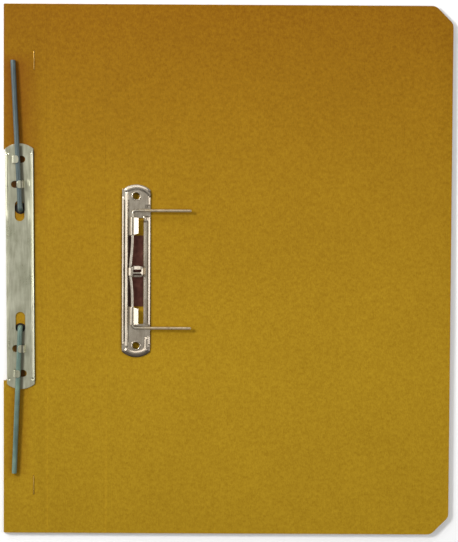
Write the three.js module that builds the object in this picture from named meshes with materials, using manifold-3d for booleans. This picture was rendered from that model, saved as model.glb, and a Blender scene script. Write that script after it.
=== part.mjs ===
// Spring file: a creased card cover that lies open on its folded front board, with a spring
// clip on the back board and a compressor bar with two flexible tubes on the binding flap.
// Millimetres. X runs across the open cover, Y up its height and Z off the card.
// While it is built, X = 0 is the flap's free edge; the whole file is centred at the end.

import * as THREE from 'three';
import { mergeVertices } from 'three/addons/utils/BufferGeometryUtils.js';
import Module from 'manifold-3d';

// Card cover
const coverHeight = 361;
const flapWidth = 29;
const spineWidth = 40.2;
const backWidth = 235.2;
const cardThickness = 0.6;
const cornerCut = 12;
const creaseGap = 0.3;

// Places on the card
const mechanismRise = 0.8;
const tubeSpacing = 80;
const tubeInset = 10.9;
const cardHoleDiameter = 8;
const cardHoleShift = 1.2;

// Strip under the flap that the tubes grow from, and its pegs
const stripWidth = 12;
const stripLength = 104;
const stripThickness = 0.5;
const pegDiameter = 1.8;
const pegTaper = 0.2;
const pegFlangeThickness = 0.4;

// Staples through the flap and the front margin
const stapleLength = 13;
const stapleWire = 0.5;
const stapleInset = 20;
const stapleEndInset = 35.5;
const stapleRise = -2.5;
const stapleFold = 4.5;

// Compressor bar
const barWidth = 18.9;
const barLength = 167.5;
const barThickness = 0.7;
const barEndRadius = 14.5;
const barInset = 10.6;
const barRise = 1.4;
const barSkew = 0.44;
const barRidgeWidth = 1.9;
const barRidgeHeight = 0.9;
const barRidgeInset = 0.25;
const barRidgeEndInset = 7.75;
const barSlotWidth = 6.6;
const barSlotLength = 14.2;
const barSlotShift = 2;

// Lanced tabs that hold the tubes flat on the bar
const innerTabRun = 16;
const outerTabRun = 33;
const tabWidth = 4.8;
const tabShift = -0.8;
const tabRoot = 4;
const tabOverhang = 0.65;
const tabLance = 4.9;
const tabThickness = 0.4;

// Flexible tubes
const tubeDiameter = 3.4;
const tubeBore = 2.2;
const tubeBendReach = 1.5;
const upperTubeLength = 103;
const lowerTubeLength = 101.5;
const upperTubeLean = 5;
const lowerTubeLean = 4;
const tubeDroop = 0.6;
const tubeLevelRun = 52;

// Spring clip base plate
const plateWidth = 19.5;
const plateLength = 117.8;
const plateThickness = 0.8;
const plateEndRadius = 14;
const plateOffset = 2.4;
const plateShift = -1.2;
const beadHeight = 0.9;
const leftBeadWidth = 3.2;
const leftBeadMargin = 1.6;
const rightBeadWidth = 3.8;
const rightBeadMargin = 0.6;
const crescentWidth = 2.6;
const crescentMargin = 0.8;
const prongGapInner = 3.5;
const prongGapOuter = 4.6;
const windowLeft = 2.4;
const windowRight = 7.5;
const windowEndInset = 0.5;

// Eyelets through the base plate and the card
const eyeletInset = 7.9;
const eyeletBore = 4.6;
const eyeletWall = 0.3;
const eyeletFlangeDiameter = 6.6;
const eyeletFlangeThickness = 0.35;

// Wire bail
const wireDiameter = 1.8;
const wireRise = 3.3;
const prongLength = 40.2;
const wireBendRadius = 2.4;
const crankReach = 1.3;
const crankInset = 2.4;
const crankFlat = 1 / 3;
const crankFlare = 1 / 2;

// Hinge tabs curled over the wire
const curlLength = 12.3;
const curlProngGap = 3.3;
const curlThickness = 0.7;
const curlLip = 3.9;
const curlLipDrop = 0.5;

// Leaf spring, and the saddle that hooks it to the wire's crank
const leafThickness = 0.5;
const leafBow = 0.3;
const saddleLength = 8;
const saddleShift = -1.6;
const saddleThickness = 0.4;
const saddleReach = 7;
const saddleCorner = 1.4;
const saddleHookAngle = 205;
const saddleSlotStart = 0.6;
const saddleSlotEnd = 5.6;
const saddleSlots = [[0.8, 1.7], [-2.1, 0.7]];

// Clearances and faceting
const seatGap = 0.2;
const cutGap = 0.3;
const wireClearance = 0.25;
const sink = 0.2;
const arcSteps = 12;
const wireSteps = 5;
const wireRunSteps = 60;
const tubeSteps = 6;
const tubeRunSteps = 12;

// Layers of the folded file, from the surface that it lies on
const frontTop = cardThickness;
const marginBottom = frontTop + cutGap + stapleWire;
const marginTop = marginBottom + cardThickness;
const stripTop = marginTop + stripThickness;
const coverTop = stripTop + cardThickness;
const barTop = coverTop + barThickness;
const plateTop = coverTop + plateThickness;

// Places worked out from the sizes above: closed, the tubes' holes face the wire
const spineEnd = flapWidth + spineWidth;
const overallWidth = spineEnd + backWidth;
const frontWidth = backWidth - flapWidth;
const wireX = spineEnd + flapWidth - tubeInset;
const wireZ = coverTop + wireRise;
const wireRadius = wireDiameter / 2;
const curlInner = wireRadius + wireClearance;
const plateX = wireX + plateOffset;
const plateY = mechanismRise + plateShift;
const prongReach = tubeSpacing / 2;
const curlEnd = prongReach - curlProngGap;
const curlStart = curlEnd - curlLength;
const crankStart = curlStart - crankInset;
const leafTop = coverTop + leafBow + leafThickness;
const tubeAxisZ = barTop + seatGap + tubeDiameter / 2;
const tabBottom = tubeAxisZ + tubeDiameter / 2 + seatGap;
const pegTop = tubeAxisZ - tubeDiameter / 2 - seatGap;
const pegFlangeRadius = cardHoleDiameter / 2 - cardHoleShift - cutGap;
const eyeletBarrel = eyeletBore / 2 + eyeletWall;
const eyeletReach = plateLength / 2 - eyeletInset;
const eyeletPlaces = [plateY + eyeletReach, plateY - eyeletReach];
const pegPlaces = [mechanismRise + prongReach, mechanismRise - prongReach];
const stapleReach = coverHeight / 2 - stapleEndInset;
const staplePlaces = [stapleRise + stapleReach, stapleRise - stapleReach];

const wasm = await Module();
wasm.setup();

// A closed geometry as a solid for joins and cuts.
function solidOf(geometry) {
  const bare = geometry.clone();
  bare.deleteAttribute('normal');
  bare.deleteAttribute('uv');
  const merged = mergeVertices(bare, 1e-4);
  return new wasm.Manifold(
    new wasm.Mesh({
      numProp: 3,
      vertProperties: new Float32Array(merged.attributes.position.array),
      triVerts: new Uint32Array(merged.index.array),
    }),
  );
}

function geometryOf(solid) {
  const mesh = solid.getMesh();
  const geometry = new THREE.BufferGeometry();
  geometry.setAttribute('position', new THREE.BufferAttribute(mesh.vertProperties, 3));
  geometry.setIndex(new THREE.BufferAttribute(mesh.triVerts, 1));
  geometry.computeVertexNormals();
  return geometry;
}

function extruded(outline, depth) {
  return new THREE.ExtrudeGeometry(outline, {
    depth,
    bevelEnabled: false,
    curveSegments: arcSteps,
  });
}

// An outline in X and Y, made into a slab between two heights.
function slab(outline, bottom, top) {
  return extruded(outline, top - bottom).translate(0, 0, bottom);
}

// A section in X and Z, made into a run along Y.
function runAlongY(section, from, to) {
  return extruded(section, to - from).rotateX(Math.PI / 2).translate(0, to, 0);
}

// A section in Y and Z, made into a run along X.
function runAlongX(section, from, to) {
  const turned = new THREE.Matrix4().makeBasis(
    new THREE.Vector3(0, 1, 0),
    new THREE.Vector3(0, 0, 1),
    new THREE.Vector3(1, 0, 0),
  );
  return extruded(section, to - from).applyMatrix4(turned).translate(from, 0, 0);
}

// A profile of radius and height, turned about a vertical line.
function turnedAt(x, y, profile) {
  const points = profile.map(([radius, height]) => new THREE.Vector2(radius, height));
  const geometry = new THREE.LatheGeometry(points, arcSteps * 2);
  return geometry.rotateX(Math.PI / 2).translate(x, y, 0);
}

function polygon(points) {
  return new THREE.Shape(points.map(([x, y]) => new THREE.Vector2(x, y)));
}

function rectangle(left, bottom, right, top) {
  return polygon([[left, bottom], [right, bottom], [right, top], [left, top]]);
}

function disc(x, y, radius) {
  return new THREE.Shape().absarc(x, y, radius, 0, Math.PI * 2, false);
}

function stadium(x, y, width, length) {
  const radius = width / 2;
  const run = length / 2 - radius;
  return new THREE.Shape()
    .absarc(x, y + run, radius, 0, Math.PI, false)
    .absarc(x, y - run, radius, Math.PI, Math.PI * 2, false);
}

// A panel of card whose right corners are cut off.
function cutCornerPanel(left, right) {
  const half = coverHeight / 2;
  return polygon([
    [left, -half],
    [right - cornerCut, -half],
    [right, -half + cornerCut],
    [right, half - cornerCut],
    [right - cornerCut, half],
    [left, half],
  ]);
}

// A long strip with shallow arcs for its two ends.
function arcEnded(x, y, width, length, endRadius) {
  const centre = length / 2 - endRadius;
  const corner = Math.acos(width / 2 / endRadius);
  return new THREE.Shape()
    .absarc(x, y + centre, endRadius, corner, Math.PI - corner, false)
    .absarc(x, y - centre, endRadius, Math.PI + corner, -corner, false);
}

// A low half-round bead, as a section that reaches a little into its plate.
function beadSection(x, width, top) {
  return new THREE.Shape()
    .moveTo(x + width / 2, top - sink)
    .absellipse(x, top, width / 2, beadHeight, 0, Math.PI, false, 0)
    .lineTo(x - width / 2, top - sink);
}

const materials = {
  card: { color: 0xa07a1e, roughness: 0.9, metalness: 0 },
  plate: { color: 0xb4b3a0, roughness: 0.35, metalness: 0.9 },
  wire: { color: 0xa9a28e, roughness: 0.3, metalness: 0.95 },
  leaf: { color: 0x55322d, roughness: 0.5, metalness: 0.6 },
  staple: { color: 0xc9a24a, roughness: 0.35, metalness: 0.9 },
  tube: { color: 0x6e7d73, roughness: 0.45, metalness: 0 },
};

const file = new THREE.Group();

function addPiece(name, look, geometry) {
  const mesh = new THREE.Mesh(geometry, new THREE.MeshStandardMaterial(materials[look]));
  mesh.name = name;
  file.add(mesh);
  return mesh;
}

function backPanel() {
  const outline = cutCornerPanel(spineEnd + creaseGap / 2, overallWidth);
  for (const y of eyeletPlaces) {
    outline.holes.push(disc(plateX, y, eyeletBarrel + seatGap));
  }
  return slab(outline, stripTop, coverTop);
}

function spinePanel() {
  const half = coverHeight / 2;
  const left = flapWidth + creaseGap / 2;
  return slab(rectangle(left, -half, spineEnd - creaseGap / 2, half), stripTop, coverTop);
}

function stapleLegs(y) {
  const reach = (stapleLength - stapleWire) / 2;
  return [y - reach, y + reach];
}

// The flap and the front margin under it have the same outline and the same staple holes.
function flapOutline() {
  const half = coverHeight / 2;
  const outline = rectangle(0, -half, flapWidth - creaseGap / 2, half);
  const hole = stapleWire / 2 + seatGap;
  for (const leg of staplePlaces.flatMap(stapleLegs)) {
    outline.holes.push(
      rectangle(stapleInset - hole, leg - hole, stapleInset + hole, leg + hole),
    );
  }
  return outline;
}

function bindingFlap() {
  const outline = flapOutline();
  for (const y of pegPlaces) {
    const centre = y + Math.sign(y) * cardHoleShift;
    outline.holes.push(disc(tubeInset, centre, cardHoleDiameter / 2));
  }
  return slab(outline, stripTop, coverTop);
}

function tubeStrip() {
  const half = stripLength / 2;
  const left = tubeInset - stripWidth / 2;
  const bottom = mechanismRise - half;
  const outline = rectangle(left, bottom, left + stripWidth, bottom + stripLength);
  for (const y of pegPlaces) {
    outline.holes.push(disc(tubeInset, y, pegDiameter / 2 + seatGap));
  }
  return slab(outline, marginTop, stripTop);
}

// A flanged peg stands up inside the card hole, and the tube is pushed over it.
function tubePeg(y) {
  const radius = pegDiameter / 2;
  const flangeTop = stripTop + pegFlangeThickness;
  return turnedAt(tubeInset, y, [
    [0, marginTop],
    [radius, marginTop],
    [radius, stripTop],
    [pegFlangeRadius, stripTop],
    [pegFlangeRadius, flangeTop],
    [radius, flangeTop],
    [radius - pegTaper, pegTop],
    [0, pegTop],
  ]);
}

// The crown lies on the flap, and the legs are folded flat under the front margin.
function staple(y) {
  const [low, high] = stapleLegs(y);
  const half = stapleWire / 2;
  const foot = marginBottom - stapleWire;
  const section = polygon([
    [low - half, foot],
    [low - half + stapleFold, foot],
    [low - half + stapleFold, marginBottom],
    [low + half, marginBottom],
    [low + half, coverTop],
    [high - half, coverTop],
    [high - half, marginBottom],
    [high + half - stapleFold, marginBottom],
    [high + half - stapleFold, foot],
    [high + half, foot],
    [high + half, coverTop + stapleWire],
    [low - half, coverTop + stapleWire],
  ]);
  return runAlongX(section, stapleInset - half, stapleInset + half);
}

// A lanced tab stands on one side of the bar and reaches over the tube to a round tip.
function lancedTab(y, side) {
  const root = tabShift + side * tabRoot;
  const tipCentre = tabShift + side * (tabWidth / 2 - tabOverhang);
  const inner = root - side * tabThickness;
  const top = tabBottom + tabThickness;
  const points = [
    [root, barTop - sink],
    [root, top],
    [tipCentre, top],
    [tipCentre, tabBottom],
    [inner, tabBottom],
    [inner, barTop - sink],
  ];
  const section = polygon(side > 0 ? points : points.reverse());
  const strap = solidOf(runAlongY(section, y - tabWidth / 2, y + tabWidth / 2));
  return strap.add(solidOf(slab(disc(tipCentre, y, tabWidth / 2), tabBottom, top)));
}

function lanceHole(y, side) {
  const near = tabShift + side * (tabRoot - tabThickness);
  const centre = tabShift + side * (tabWidth / 2 - tabLance);
  const half = tabWidth / 2;
  const run = rectangle(Math.min(near, centre), y - half, Math.max(near, centre), y + half);
  const from = coverTop - cutGap;
  const to = barTop + cutGap;
  return solidOf(slab(run, from, to)).add(solidOf(slab(disc(centre, y, half), from, to)));
}

function compressorBar() {
  const outline = arcEnded(0, 0, barWidth, barLength, barEndRadius);
  for (const side of [1, -1]) {
    const slotY = side * (prongReach - barSlotShift);
    outline.holes.push(stadium(0, slotY, barSlotWidth, barSlotLength));
  }
  let bar = solidOf(slab(outline, coverTop, barTop));
  const ridgeEnd = barLength / 2 - barRidgeEndInset;
  for (const side of [-1, 1]) {
    const x = side * (barWidth / 2 - barRidgeInset - barRidgeWidth / 2);
    const ridge = beadSection(x, barRidgeWidth, barTop);
    bar = bar.add(solidOf(runAlongY(ridge, -ridgeEnd, ridgeEnd)));
  }
  const tabs = [
    [prongReach + outerTabRun, -1],
    [prongReach + innerTabRun, 1],
    [-prongReach - innerTabRun, 1],
    [-prongReach - outerTabRun, -1],
  ];
  for (const [y, side] of tabs) {
    bar = bar.subtract(lanceHole(y, side)).add(lancedTab(y, side));
  }
  return geometryOf(bar);
}

// A tube leaves its card hole, lies level along the bar and droops to an open tip.
function flexibleTube(side, length, lean) {
  const start = mechanismRise + side * (prongReach - tubeBendReach);
  const onTube = (run, height) =>
    new THREE.Vector3(tubeInset - (lean * run) / length, start + side * run, height);
  const path = new THREE.CurvePath();
  const level = onTube(tubeLevelRun, tubeAxisZ);
  path.add(new THREE.LineCurve3(onTube(0, tubeAxisZ), level));
  path.add(new THREE.LineCurve3(level, onTube(length, tubeAxisZ - tubeDroop)));
  const wall = disc(0, 0, tubeDiameter / 2);
  wall.holes.push(disc(0, 0, tubeBore / 2));
  return new THREE.ExtrudeGeometry(wall, {
    steps: tubeRunSteps,
    curveSegments: tubeSteps,
    extrudePath: path,
  });
}

// A raised crescent follows the plate's end arc between its two beads.
function endCrescent(side) {
  const half = plateWidth / 2 - leftBeadMargin;
  const centre = plateLength / 2 - plateEndRadius;
  const outer = plateEndRadius - crescentMargin;
  const inner = outer - crescentWidth;
  const outerCorner = Math.acos(half / outer);
  const innerCorner = Math.acos(half / inner);
  const outline = new THREE.Shape()
    .absarc(0, centre, outer, outerCorner, Math.PI - outerCorner, false)
    .absarc(0, centre, inner, Math.PI - innerCorner, innerCorner, true);
  const crescent = solidOf(slab(outline, plateTop - sink, plateTop + beadHeight));
  const turned = side > 0 ? crescent : crescent.rotate([0, 0, 180]);
  return turned.translate([plateX, plateY, 0]);
}

// Beads stiffen both sides, and the right one stops where the prongs lie across it.
function plateBeads() {
  const end = plateLength / 2 - plateEndRadius / 2;
  const gapStart = prongReach - prongGapInner;
  const gapEnd = prongReach + prongGapOuter;
  const left = plateX - plateWidth / 2 + leftBeadMargin + leftBeadWidth / 2;
  const right = plateX + plateWidth / 2 - rightBeadMargin - rightBeadWidth / 2;
  const runs = [
    [left, leftBeadWidth, -end, end],
    [right, rightBeadWidth, gapEnd, end],
    [right, rightBeadWidth, -gapStart, gapStart],
    [right, rightBeadWidth, -end, -gapEnd],
  ];
  return runs.map(([x, width, from, to]) =>
    solidOf(
      runAlongY(beadSection(x, width, plateTop), plateY + from, plateY + to),
    ),
  );
}

// A hinge tab rises left of the wire, curls over it and ends in a sloping lip.
function hingeCurl(side) {
  const outer = curlInner + curlThickness;
  const foot = plateTop - sink;
  const turn = Math.PI / 2 - Math.atan(curlLipDrop / curlLip);
  const lipX = wireX + curlLip;
  const section = new THREE.Shape()
    .moveTo(wireX - outer, foot)
    .lineTo(wireX - curlInner, foot)
    .absarc(wireX, wireZ, curlInner, Math.PI, turn, true)
    .lineTo(lipX, wireZ + curlInner - curlLipDrop)
    .lineTo(lipX, wireZ + outer - curlLipDrop)
    .absarc(wireX, wireZ, outer, turn, Math.PI, false);
  const from = side > 0 ? curlStart : -curlEnd;
  const length = curlEnd - curlStart;
  return solidOf(runAlongY(section, plateY + from, plateY + from + length));
}

// The window is wide over the leaf spring and narrow beside the hinge tabs.
function plateWindow() {
  const left = wireX - windowLeft;
  const tabLeft = wireX - curlInner;
  const right = wireX + windowRight;
  const end = curlEnd - windowEndInset;
  const points = [
    [left, -curlStart],
    [tabLeft, -curlStart],
    [tabLeft, -end],
    [right, -end],
    [right, end],
    [tabLeft, end],
    [tabLeft, curlStart],
    [left, curlStart],
  ];
  return polygon(points.map(([x, y]) => [x, y + plateY]));
}

function springBasePlate() {
  const outline = arcEnded(plateX, plateY, plateWidth, plateLength, plateEndRadius);
  outline.holes.push(plateWindow());
  for (const y of eyeletPlaces) {
    outline.holes.push(disc(plateX, y, eyeletBarrel + seatGap));
  }
  let plate = solidOf(slab(outline, coverTop, plateTop));
  const raised = [...plateBeads(), endCrescent(1), endCrescent(-1), hingeCurl(1), hingeCurl(-1)];
  for (const solid of raised) {
    plate = plate.add(solid);
  }
  return geometryOf(plate);
}

// A hollow eyelet clamps the plate to the card between its two flanges.
function plateEyelet(y) {
  const bore = eyeletBore / 2;
  const flange = eyeletFlangeDiameter / 2;
  const under = stripTop - eyeletFlangeThickness;
  const over = plateTop + eyeletFlangeThickness;
  return turnedAt(plateX, y, [
    [bore, under],
    [flange, under],
    [flange, stripTop],
    [eyeletBarrel, stripTop],
    [eyeletBarrel, plateTop],
    [flange, plateTop],
    [flange, over],
    [bore, over],
    [bore, under],
  ]);
}

// A quarter bend between two straight runs, drawn towards their corner.
function bend(from, corner, to) {
  const pull = 0.5523;
  return new THREE.CubicBezierCurve3(
    from,
    from.clone().lerp(corner, pull),
    to.clone().lerp(corner, pull),
    to,
  );
}

// Half of the wire's line, from the middle of the crank to the tip of one prong.
function wireHalf(side) {
  const at = (x, y) => new THREE.Vector3(wireX + x, mechanismRise + side * y, wireZ);
  const start = at(0, crankStart);
  const bendStart = at(0, prongReach - wireBendRadius);
  const bendEnd = at(wireBendRadius, prongReach);
  return [
    new THREE.CubicBezierCurve3(
      at(-crankReach, 0),
      at(-crankReach, crankStart * crankFlat),
      at(0, crankStart * crankFlare),
      start,
    ),
    new THREE.LineCurve3(start, bendStart),
    bend(bendStart, at(0, prongReach), bendEnd),
    new THREE.LineCurve3(bendEnd, at(prongLength - wireRadius, prongReach)),
  ];
}

function wireBail() {
  const path = new THREE.CurvePath();
  path.curves.push(...wireHalf(1));
  const upper = sweptWire(path);
  const lowerPath = new THREE.CurvePath();
  lowerPath.curves.push(...wireHalf(-1));
  return geometryOf(upper.add(sweptWire(lowerPath)));
}

// A round wire swept along its line, with a round tip.
function sweptWire(path) {
  const swept = new THREE.ExtrudeGeometry(disc(0, 0, wireRadius), {
    steps: wireRunSteps,
    curveSegments: wireSteps,
    extrudePath: path,
  });
  const tip = path.getPoint(1);
  const ball = new THREE.SphereGeometry(wireRadius, wireSteps * 2, wireSteps);
  return solidOf(swept).add(solidOf(ball.translate(tip.x, tip.y, tip.z)));
}

// A bowed strip lies in the plate's window and presses on the crank through the saddle.
function leafSpring() {
  const half = curlStart - seatGap;
  const radius = (half * half + leafBow * leafBow) / (2 * leafBow);
  const corner = Math.asin(half / radius);
  const centre = coverTop + leafBow - radius;
  const start = Math.PI / 2 - corner;
  const end = Math.PI / 2 + corner;
  const section = new THREE.Shape()
    .absarc(plateY, centre, radius + leafThickness, start, end, false)
    .absarc(plateY, centre, radius, end, start, true);
  return runAlongX(section, wireX - windowLeft + cutGap, wireX + windowRight - cutGap);
}

// The saddle hooks over the crank from the left and comes down on the leaf spring.
function wireSaddle() {
  const inner = wireRadius + crankReach + wireClearance;
  const outer = inner + saddleThickness;
  const hook = THREE.MathUtils.degToRad(saddleHookAngle);
  const foot = leafTop + seatGap;
  const right = wireX + saddleReach;
  const cornerX = right - saddleCorner;
  const cornerZ = wireZ + outer - saddleCorner;
  const innerCorner = saddleCorner - saddleThickness;
  const section = new THREE.Shape()
    .moveTo(right, foot)
    .absarc(cornerX, cornerZ, saddleCorner, 0, Math.PI / 2, false)
    .absarc(wireX, wireZ, outer, Math.PI / 2, hook, false)
    .absarc(wireX, wireZ, inner, hook, Math.PI / 2, true)
    .absarc(cornerX, cornerZ, innerCorner, Math.PI / 2, 0, true)
    .lineTo(right - saddleThickness, foot);
  const centre = mechanismRise + saddleShift;
  const from = centre - saddleLength / 2;
  let saddle = solidOf(runAlongY(section, from, from + saddleLength));
  for (const [shift, width] of saddleSlots) {
    const low = centre + shift - width / 2;
    const slot = rectangle(wireX + saddleSlotStart, low, wireX + saddleSlotEnd, low + width);
    saddle = saddle.subtract(solidOf(slab(slot, wireZ + inner - sink, wireZ + outer + sink)));
  }
  return geometryOf(saddle);
}

// Cover
addPiece('back_panel', 'card', backPanel());
addPiece('spine_panel', 'card', spinePanel());
addPiece('binding_flap', 'card', bindingFlap());
addPiece('front_margin', 'card', slab(flapOutline(), marginBottom, marginTop));
addPiece('front_panel', 'card', slab(cutCornerPanel(0, frontWidth), 0, frontTop));

// Binding flap
addPiece('tube_strip', 'plate', tubeStrip());
addPiece('upper_tube_peg', 'plate', tubePeg(pegPlaces[0]));
addPiece('lower_tube_peg', 'plate', tubePeg(pegPlaces[1]));
addPiece('upper_staple', 'staple', staple(staplePlaces[0]));
addPiece('lower_staple', 'staple', staple(staplePlaces[1]));
addPiece('upper_tube', 'tube', flexibleTube(1, upperTubeLength, upperTubeLean));
addPiece('lower_tube', 'tube', flexibleTube(-1, lowerTubeLength, lowerTubeLean));

// The bar hangs a little askew on its tubes
const bar = addPiece('compressor_bar', 'plate', compressorBar());
bar.position.set(barInset, mechanismRise + barRise, 0);
bar.rotation.z = THREE.MathUtils.degToRad(barSkew);

// Spring clip
addPiece('spring_base_plate', 'plate', springBasePlate());
addPiece('upper_plate_eyelet', 'plate', plateEyelet(eyeletPlaces[0]));
addPiece('lower_plate_eyelet', 'plate', plateEyelet(eyeletPlaces[1]));
addPiece('wire_bail', 'wire', wireBail());
addPiece('leaf_spring', 'leaf', leafSpring());
addPiece('wire_saddle', 'plate', wireSaddle());

file.position.x = -overallWidth / 2;

export default file;
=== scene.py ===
"""A spring file: the looks of its creased card cover, spring clip, compressor bar and tubes.

Sizes are millimetres in the card's own frame: X from the flap's free edge, Y from the cover's
middle and Z from the surface that the file lies on.
"""

import math
from contextlib import contextmanager

import bmesh
import bpy
import numpy as np
from mathutils import Euler, Matrix, Vector


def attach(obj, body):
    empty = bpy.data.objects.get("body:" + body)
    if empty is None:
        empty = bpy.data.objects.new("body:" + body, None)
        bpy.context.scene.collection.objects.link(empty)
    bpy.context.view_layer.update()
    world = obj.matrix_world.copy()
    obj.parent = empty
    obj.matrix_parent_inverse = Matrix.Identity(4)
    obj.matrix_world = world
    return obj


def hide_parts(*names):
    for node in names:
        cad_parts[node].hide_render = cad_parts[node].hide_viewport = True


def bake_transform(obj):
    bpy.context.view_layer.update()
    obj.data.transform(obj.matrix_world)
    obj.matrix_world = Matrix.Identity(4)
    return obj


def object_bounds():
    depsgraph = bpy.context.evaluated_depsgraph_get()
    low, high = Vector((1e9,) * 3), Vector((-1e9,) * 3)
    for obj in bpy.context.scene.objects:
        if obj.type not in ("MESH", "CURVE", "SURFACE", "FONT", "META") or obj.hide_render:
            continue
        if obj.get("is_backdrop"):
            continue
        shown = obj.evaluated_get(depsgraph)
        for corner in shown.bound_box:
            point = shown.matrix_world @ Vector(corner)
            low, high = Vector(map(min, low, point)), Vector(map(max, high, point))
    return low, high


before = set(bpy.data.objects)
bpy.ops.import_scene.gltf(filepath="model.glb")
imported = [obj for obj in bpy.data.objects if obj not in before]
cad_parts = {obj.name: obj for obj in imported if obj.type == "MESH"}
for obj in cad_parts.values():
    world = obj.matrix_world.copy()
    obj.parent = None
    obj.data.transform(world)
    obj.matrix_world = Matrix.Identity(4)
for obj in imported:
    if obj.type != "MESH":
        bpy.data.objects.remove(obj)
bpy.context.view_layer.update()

MM = 0.001

# Card cover
COVER_HALF = 361.0 / 2
FLAP_WIDTH = 29.0
SPINE_WIDTH = 40.2
BACK_WIDTH = 235.2
CARD = 0.6
CORNER_CUT = 12.0
CORNER_ROUND = 2.5
SPINE_END = FLAP_WIDTH + SPINE_WIDTH
OVERALL_WIDTH = SPINE_END + BACK_WIDTH
MIDDLE = OVERALL_WIDTH / 2
FRONT_WIDTH = BACK_WIDTH - FLAP_WIDTH
CREASE_HALF = 0.8
CREASE_DIP = 0.07
CARD_EDGE = 0.14
HOLE_PLAY = 0.1
SCORE_LINES = (33.0, 60.5)
MECHANISM_Y = 0.8
PLATE_Y = -0.4

# Recess in the folded edge beside the bar, whose ends slant by this much per unit of depth
RECESS_LOW = -77.0
RECESS_HIGH = 83.0
RECESS_DEPTH = 3.0
RECESS_SLANT = 1.4

# Layers
MARGIN_BOTTOM = 1.4
MARGIN_TOP = 2.0
CARD_BOTTOM = 2.5
CARD_TOP = 3.1
FOLD_AXIS_Z = 1.0
FOLD_AXIS_X = -0.15
FOLD_SQUEEZE = 0.6
MARGIN_INSET = 0.15

# Compressor bar
BAR_X = 10.6
BAR_Y = 2.2
BAR_SKEW = math.radians(0.44)
BAR_WIDTH = 18.9
BAR_LENGTH = 167.5
BAR_END_RADIUS = 14.5
BAR_TOP = 3.8
BAR_RIDGE_END = 76.0
BAR_SLOT_Y = 38.0
BAR_SLOT_WIDTH = 6.6
BAR_SLOT_LENGTH = 14.2

# Lanced tabs over the tubes
TABS = ((73.0, -1), (56.0, 1), (-56.0, 1), (-73.0, -1))
TAB_WIDTH = 4.8
TAB_SHIFT = -0.8
TAB_ROOT = 4.0
TAB_TIP_CENTRE = 1.75
TAB_LANCE = 4.9
LANCE_SHIFT = 1.2
TAB_BOTTOM = 7.6
TAB_SHEET = 0.4

# Tubes
TUBE_X = 10.9
TUBE_Z = 5.7
TUBE_RADIUS = 1.7
TUBE_BORE = 1.1
TUBE_HOLE_RADIUS = 4.0
TUBE_HOLE_SHIFT = 1.2
PRONG_REACH = 40.0
TUBE_START = PRONG_REACH - 1.5
TUBE_LEVEL = 52.0
TUBE_DROOP = 0.6
TUBE_BENDS = (1.5, 14.0)
UPPER_TUBE = (103.0, 5.0)
LOWER_TUBE = (101.5, 4.0)

# Spring clip
PLATE_X = 89.7
PLATE_WIDTH = 19.1
PLATE_LENGTH = 117.8
PLATE_END_RADIUS = 14.0
PLATE_BODY = PLATE_LENGTH / 2 - PLATE_END_RADIUS
PLATE_TOP = 3.9
EYELET_REACH = 51.0
EYELET_BORE = 2.3
EYELET_BARREL = 2.6
EYELET_FLANGE = 3.3

# Wire bail
WIRE_X = 87.3
WIRE_Z = 6.4
WIRE_RADIUS = 0.9
ROD_RADIUS = 1.0
WIRE_BEND = 2.4
PRONG_LENGTH = 40.2
CRANK_REACH = 1.3
CRANK_START = 22.0

# Hinge curls, leaf spring and saddle
CURL_START = 24.4
CURL_END = 36.7
CURL_INNER = 1.15
CURL_SHEET = 0.7
LIP_REACH = 4.0
LIP_SLOPE = 15
ROLL_END = 70
LIP_SLANT = 1.1
LEAF_HALF = 24.2
LEAF_LEFT = WIRE_X - 3.0
LEAF_RIGHT = WIRE_X + 7.2
LEAF_BOW = 0.3
LEAF_HALF_SHEET = 0.25
SADDLE_Y = -0.6
SADDLE_LENGTH = 7.4
SADDLE_CORNER = 1.6
SADDLE_FLAT = 0.95
SADDLE_FALL = math.tan(math.radians(29))
SADDLE_SLOPE_RUN = 1.4
SADDLE_SHEET = 0.4
SADDLE_REACH = 7.4
SADDLE_HOOK = 1.2
SADDLE_BEND = 0.45
SADDLE_SLOTS = ((0.55, 1.9), (-2.0, 0.9))

# Staples
STAPLE_X = 20.0
STAPLE_YS = (142.5, -147.5)
STAPLE_LENGTH = 13.0
STAPLE_WIRE = 0.25
STAPLE_HALF = STAPLE_LENGTH / 2 - STAPLE_WIRE
STAPLE_FOOT = 4.2
STAPLE_BEND = 0.4

# How far a cubic curve's handles reach to look like a quarter arc
ARC_HANDLE = 0.5523

# Floor, in metres
FLOOR_REACH = 20.0
FLOOR_Z = -0.0004

# The photograph's camera, solved from the cover's corners and the prongs
IMAGE_HEIGHT = 542
FOCAL_PIXELS = 2048.7
SENSOR_HEIGHT = 24
CAMERA_DISTANCE = 1.4
CAMERA_TARGET = (0.00082, -0.00026, 0.0)
CAMERA_TURN = (-2.847, -0.266, 0.311)


# Mesh making


def metres(x, y, z):
    """Card millimetres as metres from the cover's middle."""
    return (x - MIDDLE) * MM, y * MM, z * MM


def added(name, data):
    obj = bpy.data.objects.new(name, data)
    bpy.context.scene.collection.objects.link(obj)
    return obj


@contextmanager
def edited(obj):
    """The object's mesh, open for editing."""
    bm = bmesh.new()
    bm.from_mesh(obj.data)
    yield bm
    bm.to_mesh(obj.data)
    bm.free()


def make(name, verts, faces, body=None, node=None, slot=None, material=None, crease=35):
    """An object from points in card millimetres, shaded smooth where its faces turn gently."""
    mesh = bpy.data.meshes.new(name)
    mesh.from_pydata([metres(*point) for point in verts], [], faces)
    obj = added(name, mesh)
    with edited(obj) as bm:
        bmesh.ops.remove_doubles(bm, verts=bm.verts, dist=1e-7)
        bmesh.ops.recalc_face_normals(bm, faces=bm.faces)
    shade(obj, crease)
    if material is not None:
        mesh.materials.append(material)
    assign(obj, body, node)
    return obj


def assign(obj, body, node):
    """The body that obj rides on, and the solid that it stands for, which is hidden."""
    if body is not None:
        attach(obj, body)
    if node is not None:
        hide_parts(node)


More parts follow.
